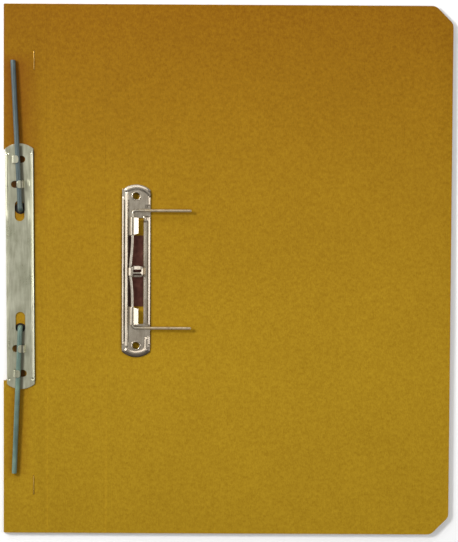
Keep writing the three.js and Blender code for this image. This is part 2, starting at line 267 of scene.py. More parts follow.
def shade(obj, degrees):
    """Smooth faces, with edges that turn by more than this many degrees kept sharp."""
    limit = math.radians(degrees)
    with edited(obj) as bm:
        for face in bm.faces:
            face.smooth = True
        for edge in bm.edges:
            edge.smooth = len(edge.link_faces) == 2 and edge.calc_face_angle(0) < limit


def prism(outline, bottom, top):
    """Points and faces of a straight slab with this outline."""
    n = len(outline)
    verts = [(x, y, bottom) for x, y in outline] + [(x, y, top) for x, y in outline]
    return verts, [tuple(reversed(range(n))), tuple(range(n, 2 * n))] + skin(2, n)


def cut(obj, outlines, bottom, top, crease=35):
    """Cuts straight holes with these outlines, in card millimetres, out of obj."""
    cutter = make("cutter", *merged(*(prism(outline, bottom, top) for outline in outlines)))
    modifier = obj.modifiers.new("cut", "BOOLEAN")
    modifier.operation = "DIFFERENCE"
    modifier.solver = "EXACT"
    modifier.object = cutter
    graph = bpy.context.evaluated_depsgraph_get()
    cut_mesh = bpy.data.meshes.new_from_object(obj.evaluated_get(graph))
    obj.modifiers.clear()
    old = obj.data
    obj.data = cut_mesh
    cut_mesh.name = obj.name
    bpy.data.meshes.remove(old)
    bpy.data.objects.remove(cutter)
    shade(obj, crease)


def arc(cx, cy, radius, start, end, steps):
    """Points on an arc between two angles in degrees."""
    angles = np.radians(np.linspace(start, end, steps + 1))
    return [(cx + radius * math.cos(a), cy + radius * math.sin(a)) for a in angles]


def disc(x, y, radius, steps=48):
    return arc(x, y, radius, 0, 360 - 360 / steps, steps - 1)


def rectangle(left, right, low, high):
    return [(left, low), (right, low), (right, high), (left, high)]


def stadium(y, width, length):
    """A slot along Y about x = 0, with half-round ends."""
    radius = width / 2
    run = length / 2 - radius
    return arc(0, y + run, radius, 0, 180, 16) + arc(0, y - run, radius, 180, 360, 16)


def unit(vector):
    return vector / np.linalg.norm(vector)


def rounded_polygon(points, radii):
    """A polygon whose corners are rounded with a quadratic curve of about that radius."""
    points = [np.array(point, float) for point in points]
    outline = []
    for i, (p, radius) in enumerate(zip(points, radii)):
        a = p + unit(points[i - 1] - p) * radius
        b = p + unit(points[(i + 1) % len(points)] - p) * radius
        for t in np.linspace(0, 1, 6) if radius else (0,):
            outline.append(tuple((1 - t) ** 2 * a + 2 * t * (1 - t) * p + t**2 * b))
    return outline


def swept_points(path, rings, side):
    """Each ring of (side, up) points set on its point of the path, where side never turns."""
    path, side = np.asarray(path, float), np.asarray(side, float)
    tangent = np.gradient(path, axis=0)
    tangent /= np.linalg.norm(tangent, axis=1)[:, None]
    ups = np.cross(tangent, side)
    rows = zip(path, ups, rings)
    return [tuple(p + a * side + b * u) for p, u, ring in rows for a, b in ring]


def skin(rows, count):
    """Faces between rows of points that each make a closed ring of count points."""
    faces = []
    for i in range(rows - 1):
        for j in range(count):
            k = (j + 1) % count
            faces.append((i * count + j, i * count + k, (i + 1) * count + k, (i + 1) * count + j))
    return faces


def sweep(path, rings, side):
    """A solid through the rings of swept_points, closed at both ends."""
    count = len(rings[0])
    last = (len(rings) - 1) * count
    ends = [tuple(range(count)), tuple(reversed(range(last, last + count)))]
    return swept_points(path, rings, side), skin(len(rings), count) + ends


def strap_ring(half_width, half_thickness, round_by=0.12):
    """The cross-section of a flat strap with eased edges."""
    r = min(round_by, half_thickness * 0.95, half_width * 0.9)
    w, t = half_width - r, half_thickness - r
    inset = w - min(0.2, w / 2)
    ring = arc(w, t, r, 0, 90, 3) + [(inset, t + r), (-inset, t + r)]
    ring += arc(-w, t, r, 90, 180, 3) + arc(-w, -t, r, 180, 270, 3)
    return ring + [(-inset, -t - r), (inset, -t - r)] + arc(w, -t, r, 270, 360, 3)


def flanked_ring(half_width, half_thickness, flat, fall):
    """The cross-section of a strap that is flat in its middle and falls away on either side."""
    across = np.linspace(half_width, -half_width, 21)
    top = [(a, half_thickness - fall * max(abs(a) - flat, 0)) for a in across]
    return top + [(a, b - 2 * half_thickness) for a, b in reversed(top)]


def rod(path, radius, tip_steps, steps, side):
    """A round rod along a path, with half-round tips."""
    path = [np.asarray(p, float) for p in path]
    angles = [math.pi / 2 * k / tip_steps for k in range(tip_steps + 1)]
    sizes = [max(radius * math.cos(a), radius * 0.03) for a in angles]
    tips = []
    for tip, before in ((path[0], path[1]), (path[-1], path[-2])):
        out = unit(tip - before)
        base = tip - out * radius
        tips.append([base + out * radius * math.sin(a) for a in angles])
    radii = sizes[::-1] + [radius] * (len(path) - 2) + sizes
    path = tips[0][::-1] + path[1:-1] + tips[1]
    return sweep(path, [disc(0, 0, r, steps) for r in radii], side)


def cubic(a, b, c, d, steps):
    """Points on a cubic curve from a to d, drawn towards b and c."""
    return [
        (1 - t) ** 3 * a + 3 * t * (1 - t) ** 2 * b + 3 * t**2 * (1 - t) * c + t**3 * d
        for t in np.linspace(0, 1, steps + 1)
    ]


def smooth_path(points, radii, steps):
    """Straight runs between points, with each inner corner eased by its radius."""
    points = [np.asarray(p, float) for p in points]
    path = [points[0]]
    for a, p, b, r in zip(points, points[1:], points[2:], radii):
        start, end = p + unit(a - p) * r, p + unit(b - p) * r
        c1, c2 = start + (p - start) * ARC_HANDLE, end + (p - end) * ARC_HANDLE
        path += cubic(start, c1, c2, end, steps)
    return path + [points[-1]]


def dense_path(path, step):
    """The same path, its long runs cut into equal pieces a little longer than step."""
    dense = [path[0]]
    for a, b in zip(path[:-1], path[1:]):
        n = max(1, int(np.linalg.norm(b - a) / step))
        dense += [a + (b - a) * (k + 1) / n for k in range(n)]
    return dense


def turned(cx, cy, profile):
    """A profile of (radius, z) points, closed on itself, turned about a vertical line."""
    steps, n = 48, len(profile)
    verts, faces = [], []
    for i, (c, s) in enumerate(disc(0, 0, 1, steps)):
        verts += [(cx + r * c, cy + r * s, z) for r, z in profile]
        m = (i + 1) % steps
        for j in range(n):
            k = (j + 1) % n
            faces.append((i * n + j, m * n + j, m * n + k, i * n + k))
    return verts, faces


def bead(x, y, line, half_width, height, flank):
    """Height of a pressed bead that follows a line and ends round: even flanks, flat crown."""
    gap = np.full(np.shape(x), np.inf)
    for (ax, ay), (bx, by) in zip(line[:-1], line[1:]):
        dx, dy = bx - ax, by - ay
        t = np.clip(((x - ax) * dx + (y - ay) * dy) / (dx * dx + dy * dy), 0, 1)
        gap = np.minimum(gap, np.hypot(x - ax - t * dx, y - ay - t * dy))
    d = np.clip(gap / half_width, 0, 1)
    return height * flank_shape(np.clip((1 - d) / flank, 0, 1))


def straight_bead(x, y, middle, low, high, left, right, height, crown=0.0):
    """A bead along Y about x = middle, with a flank of its own width on either side."""
    dx = x - middle
    across = np.maximum(np.abs(dx) - crown, 0) / np.where(dx < 0, left, right)
    beyond = np.maximum(np.maximum(low - y, y - high), 0) / max(left, right)
    return height * flank_shape(1 - np.clip(np.hypot(across, beyond), 0, 1))


def smooth_step(t):
    t = np.clip(t, 0, 1)
    return t * t * (3 - 2 * t)


def flank_shape(t):
    """A straight slope from 0 to 1 with a short curve at its foot and its crown."""
    ease = 0.2
    middle = (t - ease / 2) / (1 - ease)
    foot = t * t / (2 * ease * (1 - ease))
    crown = 1 - (1 - t) ** 2 / (2 * ease * (1 - ease))
    return np.where(t < ease, foot, np.where(t > 1 - ease, crown, middle))


def pressed_plate(width, length, end_radius, relief, top, columns, rows):
    """An arc-ended plate on the card, as a fine closed mesh whose top is raised by relief(x, y)."""
    edge = 0.12
    half_w, half_l = width / 2, length / 2
    sag = end_radius - math.sqrt(end_radius**2 - half_w**2)
    fall = (edge * (1 - np.cos(np.linspace(0, math.pi / 2, 4))))[:-1]
    inner = np.linspace(-half_w + edge, half_w - edge, columns)
    xs = np.concatenate([-half_w + fall, inner, half_w - fall[::-1]])
    reach = half_l - end_radius + np.sqrt(np.maximum(end_radius**2 - xs**2, 0))

    # Straight rows in the middle, then rows that take on the end's arc
    body = half_l - sag - 1.0
    bent = np.concatenate([np.linspace(0, 1, 26)[1:-1], 1 - fall[::-1] / 12 - 1e-9])
    lines = [body + (reach - body) * t for t in bent] + [reach]
    straight = [np.full(len(xs), y) for y in np.linspace(-body, body, rows)]
    ys = np.array([-line for line in reversed(lines)] + straight + lines)

    grid_x = np.tile(xs, (len(ys), 1))
    inset = np.clip(np.minimum(half_w - np.abs(grid_x), reach - np.abs(ys)), 0, edge)
    rounding = edge - np.sqrt(np.maximum(edge**2 - (edge - inset) ** 2, 0))
    grid_z = top - rounding + relief(grid_x, ys)
    upper = np.stack([grid_x, ys, grid_z], -1).reshape(-1, 3)
    index = np.arange(len(upper)).reshape(grid_x.shape)
    row = len(xs)
    faces = [(a, a + 1, a + row + 1, a + row) for a in index[:-1, :-1].ravel().tolist()]
    rim = np.concatenate([index[0], index[1:, -1], index[-1, -2::-1], index[-2:0:-1, 0]]).tolist()
    lower = upper[rim]
    lower[:, 2] = CARD_TOP
    off, n = len(upper), len(rim)
    for i in range(n):
        k = (i + 1) % n
        faces.append((rim[i], off + i, off + k, rim[k]))
    faces.append(tuple(range(off, off + n)))
    return np.vstack([upper, lower]), faces


def merged(*parts):
    """Several (verts, faces) pairs as one."""
    verts, faces = [], []
    for v, f in parts:
        faces += [tuple(i + len(verts) for i in face) for face in f]
        verts += [tuple(p) for p in v]
    return verts, faces


def placed(points, x, y, turn=0.0):
    """Points turned in the card's plane and moved to (x, y), with any heights kept."""
    c, s = math.cos(turn), math.sin(turn)
    return [(x + c * a - s * b, y + s * a + c * b, *z) for a, b, *z in points]


# Materials


class Look:
    """A material, or the world, whose nodes are added one line at a time."""

    def __init__(self, name, kind="materials", shader="Principled BSDF", place="Object"):
        self.owner = getattr(bpy.data, kind).new(name)
        self.owner.use_nodes = True
        self.tree = self.owner.node_tree
        self.shader = self.tree.nodes[shader]
        self.place = self.add("ShaderNodeTexCoord").outputs[place]

    def fill(self, node, **values):
        """Feeds inputs, with _ for each space in a name, and sets what isn't an input."""
        for key, value in values.items():
            name = key.replace("_", " ")
            if name in node.inputs:
                self.feed(node.inputs[name], value)
            else:
                setattr(node, key, value)
        return node

    def add(self, kind, **values):
        return self.fill(self.tree.nodes.new(kind), **values)

    def feed(self, socket, value):
        if isinstance(value, bpy.types.NodeSocket):
            self.tree.links.new(value, socket)
        else:
            socket.default_value = value

    def math(self, operation, a, b=0.0):
        node = self.add("ShaderNodeMath", operation=operation)
        self.feed(node.inputs[0], a)
        self.feed(node.inputs[1], b)
        return node.outputs[0]

    def times(self, a, b):
        return self.math("MULTIPLY", a, b)

    def parts(self, a, b, share=0.6):
        """A share of a and the rest of b."""
        return self.math("ADD", self.times(a, share), self.times(b, 1 - share))

    def noise(self, scale, detail=3.0, roughness=0.55, stretch=(1, 1, 1)):
        place = self.add("ShaderNodeMapping", Vector=self.place, Scale=stretch)
        values = dict(Vector=place.outputs[0], Scale=scale, Detail=detail, Roughness=roughness)
        return self.add("ShaderNodeTexNoise", **values).outputs["Fac"]

    def ramp(self, value, *stops):
        """A ramp through stops of a position and a colour, or one number for a grey."""
        node = self.add("ShaderNodeValToRGB", Fac=value)
        ramp = node.color_ramp
        while len(ramp.elements) < len(stops):
            ramp.elements.new(0.5)
        for element, (position, colour) in zip(ramp.elements, stops):
            element.position = position
            element.color = colour if isinstance(colour, tuple) else (colour,) * 3 + (1,)
        return node.outputs["Color"]

    def shades(self, value, dark, light, start=0.3, end=0.7):
        """A ramp between two colours that are given as they look on a screen."""
        return self.ramp(value, (start, srgb(*dark)), (end, srgb(*light)))

    def mix(self, factor, a, b, blend="MIX"):
        node = self.add("ShaderNodeMix", data_type="RGBA", blend_type=blend)
        self.feed(node.inputs["Factor"], factor)
        self.feed(node.inputs[6], a)
        self.feed(node.inputs[7], b)
        return node.outputs[2]

    def tint(self, colour, by):
        return self.mix(1.0, colour, by, "MULTIPLY")

    def between(self, value, low, high, start=0.0, end=1.0):
        """value, from low to high, as a number from start to end."""
        ends = dict(From_Min=low, From_Max=high, To_Min=start, To_Max=end)
        return self.add("ShaderNodeMapRange", Value=value, **ends).outputs["Result"]

    def fade(self, value, near, far, strength=1.0):
        """strength where value's size is up to near, in millimetres, and nothing beyond far."""
        return self.between(self.math("ABSOLUTE", value), near * MM, far * MM, strength, 0.0)

    def along(self, axis):
        return self.add("ShaderNodeSeparateXYZ", Vector=self.place).outputs[axis]

    def right_of(self, x):
        return self.math("SUBTRACT", self.along("X"), (x - MIDDLE) * MM)

    def above(self, y):
        return self.math("SUBTRACT", self.along("Y"), y * MM)

    def leaning(self, x, y, lean):
        """Distances to the right of a slanted line through (x, y), and above y."""
        dy = self.above(y)
        return self.math("ADD", self.right_of(x), self.times(dy, lean)), dy

    def away_from(self, x, y):
        dx, dy = self.math("POWER", self.right_of(x), 2), self.math("POWER", self.above(y), 2)
        return self.math("SQRT", self.math("ADD", dx, dy))

    def bump(self, height, strength, distance=0.0001):
        node = self.add("ShaderNodeBump", Height=height, Strength=strength, Distance=distance)
        self.fill(self.shader, Normal=node.outputs[0])

    def set(self, **values):
        self.fill(self.shader, **values)
        return self.owner

    def finish(self, colour, wear, rough, start=0.3, end=0.7, **values):
        """The material, with its roughness going between two numbers as wear does."""
        rough = self.between(wear, start, end, *rough)
        return self.set(Base_Color=colour, Roughness=rough, **values)


def srgb(r, g, b):
    """A colour given as it looks on a screen, from 0 to 255."""
    linear = [c / 255 for c in (r, g, b)]
    linear = [c / 12.92 if c <= 0.04045 else ((c + 0.055) / 1.055) ** 2.4 for c in linear]
    return (*linear, 1)


def card_look(name, hole_shadows=(), edges=(), shade_and_grime_bands=()):
    """Mustard pulp card: fine mottled fibres, a tone that yellows down the sheet, score lines.

    Dots are painted shadows, dark where the card shows through the bar's lance holes. Edges are
    painted contact shadows along a metal part's long sides. The wide, weak bands along the tubes
    are partly painted shade and partly grime.
    """
    look = Look(name)
    mottle = look.noise(420, detail=5, roughness=0.75)
    fibres = look.noise(1300, detail=3, roughness=0.6, stretch=(1, 0.4, 1))
    grain = look.parts(mottle, fibres)
    top = look.shades(grain, (125, 79, 3), (148, 103, 12), 0.36, 0.64)
    low = look.shades(grain, (155, 118, 15), (180, 144, 30), 0.36, 0.64)
    down = look.between(look.along("Y"), 0.18, -0.18)
    colour = look.mix(look.ramp(down, (0.0, 0), (0.35, 0.55), (0.7, 0.94), (1, 1)), top, low)
    clouds = look.noise(14, detail=3)
    patch = look.shades(clouds, (250, 249, 247), (255, 255, 255), 0.35, 0.65)
    colour = look.tint(colour, patch)
    # Darker towards the flap's free edge
    across = look.between(look.along("X"), -MIDDLE * MM, MIDDLE * MM)
    x_ramp = look.ramp(across, (0.0, 0.84), (0.1, 0.92), (0.45, 0.98), (1.0, 1))
    colour = look.tint(colour, x_ramp)
    upper_face = look.between(look.along("Z"), (CARD_TOP - 0.3) * MM, (CARD_TOP - 0.15) * MM)

    def marked(near, inside, shade_and_grime_colour):
        share = look.times(look.times(near, inside), upper_face)
        return look.mix(share, colour, srgb(*shade_and_grime_colour))

    # Painted shade and grime: wide, weak orange-brown bands beside each tube
    for place, (reach, half_length), lean, strength in shade_and_grime_bands:
        dx, dy = look.leaning(*place, lean)
        inside = look.fade(dy, half_length - 9, half_length, strength)
        colour = marked(look.fade(dx, 2.5, reach), inside, (104, 30, 4))
    # Painted shadows: dark dots where the card shows through the bar's lance holes
    for x, y in hole_shadows:
        hole_shade = look.fade(look.away_from(x, y), 2.6, 3.8)
        colour = look.mix(look.times(hole_shade, 0.88), colour, srgb(46, 22, 6))
    # Painted contact shadows: dark lines along the bar's right edge and the clip plate's sides
    for place, (half_width, half_length), skew, strength in edges:
        dx, dy = look.leaning(*place, math.sin(skew))
        beyond = look.math("SUBTRACT", look.math("ABSOLUTE", dx), half_width * MM)
        near = look.math("POWER", look.fade(beyond, 0.3, 3.2), 3)
        inside = look.fade(dy, half_length - 4, half_length, strength)
        colour = marked(near, inside, (34, 22, 2))
    score = 0.0
    for line in SCORE_LINES:
        score = look.math("ADD", look.fade(look.right_of(line), 0.0, 0.6), score)
    relief = look.math("SUBTRACT", grain, look.times(score, 0.25))
    look.bump(relief, 0.3, 0.0002)
    return look.finish(colour, fibres, (0.78, 0.92), Specular_IOR_Level=0.12)


def plate_look(name, dark, light, rough, shade_lines=(), rim_shades=()):
    """Plated sheet steel: fine rolled grain, soft cloudy tarnish, painted shade lines and rim.

    A shade line is its middle, half width, lower and upper end, depth of tone and lean.
    A rim shade is the centre and radius of the arc at the plate's lower end, and its depth of tone.
    A rim is the centre and radius of the arc at the plate's lower end, and its depth of tone.
    """
    look = Look(name)
    rolled = look.noise(700, detail=4, stretch=(1, 0.12, 1))
    clouds = look.noise(60, detail=4, roughness=0.65)
    colour = look.shades(clouds, dark, light, 0.32, 0.66)
    colour = look.tint(colour, look.shades(rolled, (228, 226, 222), (255, 255, 255)))
    # Painted shade: dark lines along bead flanks, creases and a tube's shadow side
    for middle, half_width, low, high, depth, lean in shade_lines:
        reach = (high - low) / 2
        offset, far = look.leaning(middle, (low + high) / 2, lean)
        near = look.fade(offset, half_width * 0.4, half_width, depth)
        share = look.times(near, look.fade(far, reach - 1.0, reach))
        colour = look.mix(share, colour, srgb(58, 50, 38))
    # Painted shade on the down-facing outer rim of the lower end's arc
    for x, y, radius, depth in rim_shades:
        gap = look.away_from(x, y)
        near = look.between(gap, (radius - 1.5) * MM, (radius - 0.8) * MM, 0.0, depth)
        below = look.between(look.above(y), -10 * MM, -9 * MM, 1.0, 0.0)
        colour = look.mix(look.times(near, below), colour, srgb(48, 38, 26))
    look.bump(rolled, 0.06)
    return look.finish(colour, look.parts(clouds, rolled), rough, 0.35, 0.65, Metallic=0.86)


def strip_look():
    """Steel near black as painted shade in the card holes; seen only there and from under the flap.
    """
    look = Look("strip_dark_for_shade")
    clouds = look.noise(180, detail=4)
    look.bump(clouds, 0.1)
    colour = look.shades(clouds, (24, 20, 18), (52, 44, 38))
    return look.finish(colour, clouds, (0.45, 0.65), Metallic=0.7)


def wire_look():
    """Drawn steel wire; its prongs are brighter, a painted highlight, and warmer with tarnish."""
    look = Look("bail_wire")
    drawn = look.noise(900, detail=3)
    spots = look.noise(260, detail=4, roughness=0.7)
    run = look.shades(spots, (148, 140, 125), (180, 173, 158))
    prongs = look.shades(spots, (182, 164, 133), (216, 198, 166))
    # Painted highlight and tarnish: the prongs are lighter and warmer than the rest
    x_ramp = look.between(look.right_of(WIRE_X), 2 * MM, 14 * MM)
    look.bump(drawn, 0.05)
    return look.finish(look.mix(x_ramp, run, prongs), drawn, (0.26, 0.4), Metallic=0.85)


def leaf_look():
    """Tempered spring steel in brown scale, with a painted shadow, nearly black, beside the wire.
    """
    look = Look("tempered_leaf")
    scale = look.noise(220, detail=5, roughness=0.7)
    bands = look.noise(35, detail=2, stretch=(1, 0.4, 1))
    colour = look.ramp(
        look.parts(scale, bands),
        (0.32, srgb(58, 30, 24)),
        (0.55, srgb(90, 53, 42)),
        (0.75, srgb(124, 86, 71)),
    )
    # Painted shadow: near black along the left of the wire
    wire_shadow = look.between(look.right_of(WIRE_X), -1.2 * MM, 0.4 * MM, 0.8, 0.0)
    look.bump(scale, 0.12)
    colour = look.mix(wire_shadow, colour, srgb(22, 16, 14))
    return look.finish(colour, scale, (0.32, 0.5), Metallic=0.8)


def staple_look():
    look = Look("staple_wire")
    wear = look.noise(900, detail=3)
    colour = look.shades(wear, (180, 138, 60), (208, 172, 100))
    return look.finish(colour, wear, (0.25, 0.4), Metallic=1.0)


def tube_look():
    """Grey green plastic in long streaks, darker on the upper tube."""
    look = Look("tube_plastic")
    streaks = look.noise(500, detail=3, stretch=(1, 0.05, 1))
    clouds = look.noise(70, detail=3)
    colour = look.ramp(
        look.parts(streaks, clouds, 0.5),
        (0.3, srgb(60, 81, 82)),
        (0.5, srgb(87, 110, 107)),
        (0.7, srgb(116, 140, 131)),
    )
    down = look.between(look.along("Y"), 0.06, -0.06)
    colour = look.tint(colour, look.shades(down, (188, 184, 188), (255, 255, 234), 0.0, 1.0))
    look.bump(streaks, 0.08)
    return look.finish(colour, clouds, (0.28, 0.42), Specular_IOR_Level=0.55)


# Painted shadows: dots where the card shows dark through the bar's lance holes
LANCE_HOLE_SHADOWS = [
    (
        BAR_X + (TAB_SHIFT - side * LANCE_SHIFT) * math.cos(BAR_SKEW) - y * math.sin(BAR_SKEW),
        BAR_Y + y,
    )
    for y, side in TABS
]

# Each tube's band of painted shade and grime on the card, and a painted shadow line on the bar
TUBE_SHADE_AND_GRIME, BAR_SHADE_LINES = [], []
SHADE_LINE_START, SHADE_LINE_END = PRONG_REACH - 1, 84
for side, (length, lean), reach, strength in (
    (1, UPPER_TUBE, 19, 0.42),
    (-1, LOWER_TUBE, 10.5, 0.3),
):
    slant = side * lean / length
    middle = MECHANISM_Y + side * (TUBE_START + length / 2)
    TUBE_SHADE_AND_GRIME.append(((TUBE_X - lean / 2, middle), (reach, length / 2 + 6), slant, strength))
    # Painted shadow line on the bar along the tube's right side
    run = (SHADE_LINE_START + SHADE_LINE_END) / 2 - TUBE_START
    low, high = sorted(MECHANISM_Y + side * end for end in (SHADE_LINE_START, SHADE_LINE_END))
    BAR_SHADE_LINES.append((TUBE_X - lean * run / length + 2.4, 1.4, low, high, 0.7, slant))

# Painted contact shadows beside the bar's right edge and the clip plate's long sides
BAR_EDGE_SHADOW = ((BAR_X + BAR_WIDTH / 2, BAR_Y), (0, BAR_LENGTH / 2 - 2), BAR_SKEW, 0.95)
PLATE_EDGE_SHADOW = ((PLATE_X, PLATE_Y), (PLATE_WIDTH / 2, PLATE_LENGTH / 2 - 3), 0, 0.65)
PLATE_LEFT = PLATE_X - PLATE_WIDTH / 2
PLATE_RIGHT = PLATE_X + PLATE_WIDTH / 2
# Painted shade lines on the clip: bead flanks, a notch, and creases under the hinge curls
CLIP_SHADE_LINES = [
    (middle, half_width, PLATE_Y + low, PLATE_Y + high, depth, 0)
    for middle, half_width, low, high, depth in (
        (PLATE_LEFT + 1.65, 0.7, -49, 49, 0.85),
        (PLATE_LEFT + 4.4, 0.6, -49, 49, 0.6),
        (PLATE_RIGHT - 1.8, 0.4, -36, 36, 0.5),
        (PLATE_RIGHT - 2.3, 1.6, 42.2, 45.6, 0.6),
        (WIRE_X + 0.5, 0.55, CURL_START - 1, CURL_END + 1, 0.85),
        (WIRE_X + 0.5, 0.55, -CURL_END - 1, -CURL_START + 1, 0.85),
    )
]
# Painted shade on the lower arc's outer rim
CLIP_RIM_SHADE = (PLATE_X, PLATE_Y - PLATE_LENGTH / 2 + PLATE_END_RADIUS, PLATE_END_RADIUS, 0.85)

CARD_LOOK = card_look("mustard_card")
# The flap's card carries painted shadows and painted shade with grime; the clip side's card carries
# painted shadows
FLAP_LOOK = card_look("flap_card_painted_shade", LANCE_HOLE_SHADOWS, (BAR_EDGE_SHADOW,), TUBE_SHADE_AND_GRIME)
BACK_LOOK = card_look("clip_card", (), (PLATE_EDGE_SHADOW,))
BAR_LOOK = plate_look("bar_plate", (184, 184, 158), (203, 202, 179), (0.26, 0.38), BAR_SHADE_LINES)
CLIP_LOOK = plate_look(
    "clip_plate", (176, 163, 145), (203, 193, 175), (0.2, 0.32), CLIP_SHADE_LINES, (CLIP_RIM_SHADE,)
)
WIRE_LOOK = wire_look()
STRIP_LOOK = strip_look()
LEAF_LOOK = leaf_look()
STAPLE_LOOK = staple_look()
TUBE_LOOK = tube_look()


# Card cover


def card_panel(name, outline, bottom, top, body, node, creases, holes=(), material=CARD_LOOK):
    """A sheet of card with eased edges, except along the creases where the fold goes on."""
    obj = make(name, *prism(outline, bottom, top), material=material)
    with edited(obj) as bm:
        flat = [
            e
            for e in bm.edges
            if abs(e.verts[0].co.z - e.verts[1].co.z) < 1e-6
            and not any(
                all(abs(v.co.x / MM + MIDDLE - x) < 1e-3 for v in e.verts) for x in creases
            )
        ]
        bmesh.ops.bevel(
            bm, geom=flat, offset=CARD_EDGE * MM, segments=2, profile=0.6, affect="EDGES"
        )
    if holes:
        cut(obj, holes, bottom - 1, top + 1)
    shade(obj, 50)
    assign(obj, body, node)


def plain_outline(left, right):
    return rectangle(left, right, -COVER_HALF, COVER_HALF)


def cut_corner_outline(left, right):
    """A board with its two right corners cut off, from its lower to its upper left corner."""
    lower = [
        (left, -COVER_HALF),
        (right - CORNER_CUT, -COVER_HALF),
        (right, -COVER_HALF + CORNER_CUT),
    ]
    points = lower + [(x, -y) for x, y in reversed(lower)]
    return rounded_polygon(points, (0,) + (CORNER_ROUND,) * 4 + (0,))


def recessed(outline, left):
    """An outline that ends at its upper left corner, with the recess cut into its left edge."""
    return outline + [
        (left, RECESS_HIGH - left * RECESS_SLANT),
        (RECESS_DEPTH, RECESS_HIGH - RECESS_DEPTH * RECESS_SLANT),
        (RECESS_DEPTH, RECESS_LOW + RECESS_DEPTH * RECESS_SLANT),
        (left, RECESS_LOW + left * RECESS_SLANT),
    ]


def fold_strip(name, loop, bodies, start, end, spans=((-COVER_HALF, COVER_HALF),)):
    """Runs along Y of a closed (x, z) section."""
    n = len(loop)
    faces = skin(4, n) + [tuple(reversed(range(n))), tuple(range(3 * n, 4 * n))]
    runs = []
    for low, high in spans:
        rows = (low, low + CARD_EDGE, high - CARD_EDGE, high)
        runs.append(([(a, y, b) for y in rows for a, b in loop], faces))
    obj = make(name, *merged(*runs), slot="manila_card", material=CARD_LOOK, crease=60)
    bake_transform(obj)


def crease_strip(name, x, bodies):
    """The creased band between two panels, with a shallow pressed valley along its middle."""
    xs = np.linspace(-CREASE_HALF, CREASE_HALF, 13)
    dip = CREASE_DIP * np.cos(xs / CREASE_HALF * math.pi / 2) ** 2
    loop = [(x + a, CARD_TOP - d) for a, d in zip(xs, dip)]
    loop += [(x + a, CARD_BOTTOM - d * 0.5) for a, d in zip(xs[::-1], dip[::-1])]
    ends = ((x + CREASE_HALF, 0, CARD_TOP), (x - CREASE_HALF, 0, CARD_TOP))
    fold_strip(name, loop, bodies, *ends)


def front_fold_loop():
    """The folded edge where the front board turns under the flap's margin."""
    outer, inner = MARGIN_TOP - FOLD_AXIS_Z, MARGIN_BOTTOM - FOLD_AXIS_Z

    def turn(radius, start, end, steps):
        half_turn = arc(0, 0, radius, start, end, steps)
        return [(FOLD_AXIS_X - FOLD_SQUEEZE * b, FOLD_AXIS_Z + a) for a, b in half_turn]

    loop = [(CREASE_HALF, MARGIN_TOP)] + turn(outer, 0, 180, 16)
    loop += [(CREASE_HALF, FOLD_AXIS_Z - outer), (CREASE_HALF, FOLD_AXIS_Z - inner)]
    return loop + turn(inner, 180, 0, 12) + [(CREASE_HALF, MARGIN_BOTTOM)]


eyelet_ys = (PLATE_Y + EYELET_REACH, PLATE_Y - EYELET_REACH)
eyelet_holes = [disc(PLATE_X, y, EYELET_BARREL + HOLE_PLAY) for y in eyelet_ys]
tube_holes = [
    disc(TUBE_X, MECHANISM_Y + side * (PRONG_REACH + TUBE_HOLE_SHIFT), TUBE_HOLE_RADIUS)
    for side in (1, -1)
]
size = STAPLE_WIRE + HOLE_PLAY
staple_holes = [
    placed(rectangle(-size, size, -size, size), STAPLE_X, leg)
    for y in STAPLE_YS
    for leg in (y - STAPLE_HALF, y + STAPLE_HALF)
]
back_left = SPINE_END + CREASE_HALF
spine_left, spine_right = FLAP_WIDTH + CREASE_HALF, SPINE_END - CREASE_HALF
flap_right = FLAP_WIDTH - CREASE_HALF

card_panel(
    "back_card", cut_corner_outline(back_left, OVERALL_WIDTH), CARD_BOTTOM, CARD_TOP,
    "back_cover", "back_panel", (back_left,), eyelet_holes, BACK_LOOK,
)
card_panel(
    "spine_card", plain_outline(spine_left, spine_right), CARD_BOTTOM, CARD_TOP,
    "spine", "spine_panel", (spine_left, spine_right),
)
card_panel(
    "flap_card", recessed(plain_outline(0, flap_right), 0), CARD_BOTTOM, CARD_TOP,
    "flap", "binding_flap", (flap_right,), tube_holes + staple_holes, FLAP_LOOK,
)
margin_outline = plain_outline(CREASE_HALF, FLAP_WIDTH - MARGIN_INSET)
card_panel(
    "front_margin_card", recessed(margin_outline, CREASE_HALF), MARGIN_BOTTOM, MARGIN_TOP,
    "flap", "front_margin", (CREASE_HALF,), staple_holes,
)
card_panel(
    "front_card", recessed(cut_corner_outline(CREASE_HALF, FRONT_WIDTH), CREASE_HALF),
    0.0, CARD, "front_cover", "front_panel", (CREASE_HALF,),
)
crease_strip("spine_fold", SPINE_END, ("back_cover", "spine"))
crease_strip("flap_fold", FLAP_WIDTH, ("spine", "flap"))
fold_strip(
    "front_fold", front_fold_loop(), ("flap", "front_cover"),
    (FOLD_AXIS_X, 0, MARGIN_BOTTOM), (FOLD_AXIS_X, 0, FOLD_AXIS_Z * 2 - MARGIN_BOTTOM),
    (
        (-COVER_HALF, RECESS_LOW + CREASE_HALF * RECESS_SLANT),
        (RECESS_HIGH - CREASE_HALF * RECESS_SLANT, COVER_HALF),
    ),
)


# Staples


def staple(name, node, y):
    """Two feet bent inwards under the margin, two legs and a crown over the flap."""
    top = CARD_TOP + STAPLE_WIRE
    foot = MARGIN_BOTTOM - STAPLE_WIRE
    lower = [
        (STAPLE_X, -STAPLE_HALF + STAPLE_FOOT, foot),
        (STAPLE_X, -STAPLE_HALF, foot),
        (STAPLE_X, -STAPLE_HALF, top),
    ]
    points = [(a, y + b, z) for a, b, z in lower + [(a, -b, z) for a, b, z in reversed(lower)]]
    path = smooth_path(points, (STAPLE_BEND,) * 4, steps=6)
    solid = rod(path, STAPLE_WIRE, 5, 14, side=(1, 0, 0))
    make(name, *solid, "flap", node, "staple_wire", STAPLE_LOOK, crease=60)


staple("upper_staple_wire", "upper_staple", STAPLE_YS[0])
staple("lower_staple_wire", "lower_staple", STAPLE_YS[1])


# Compressor bar


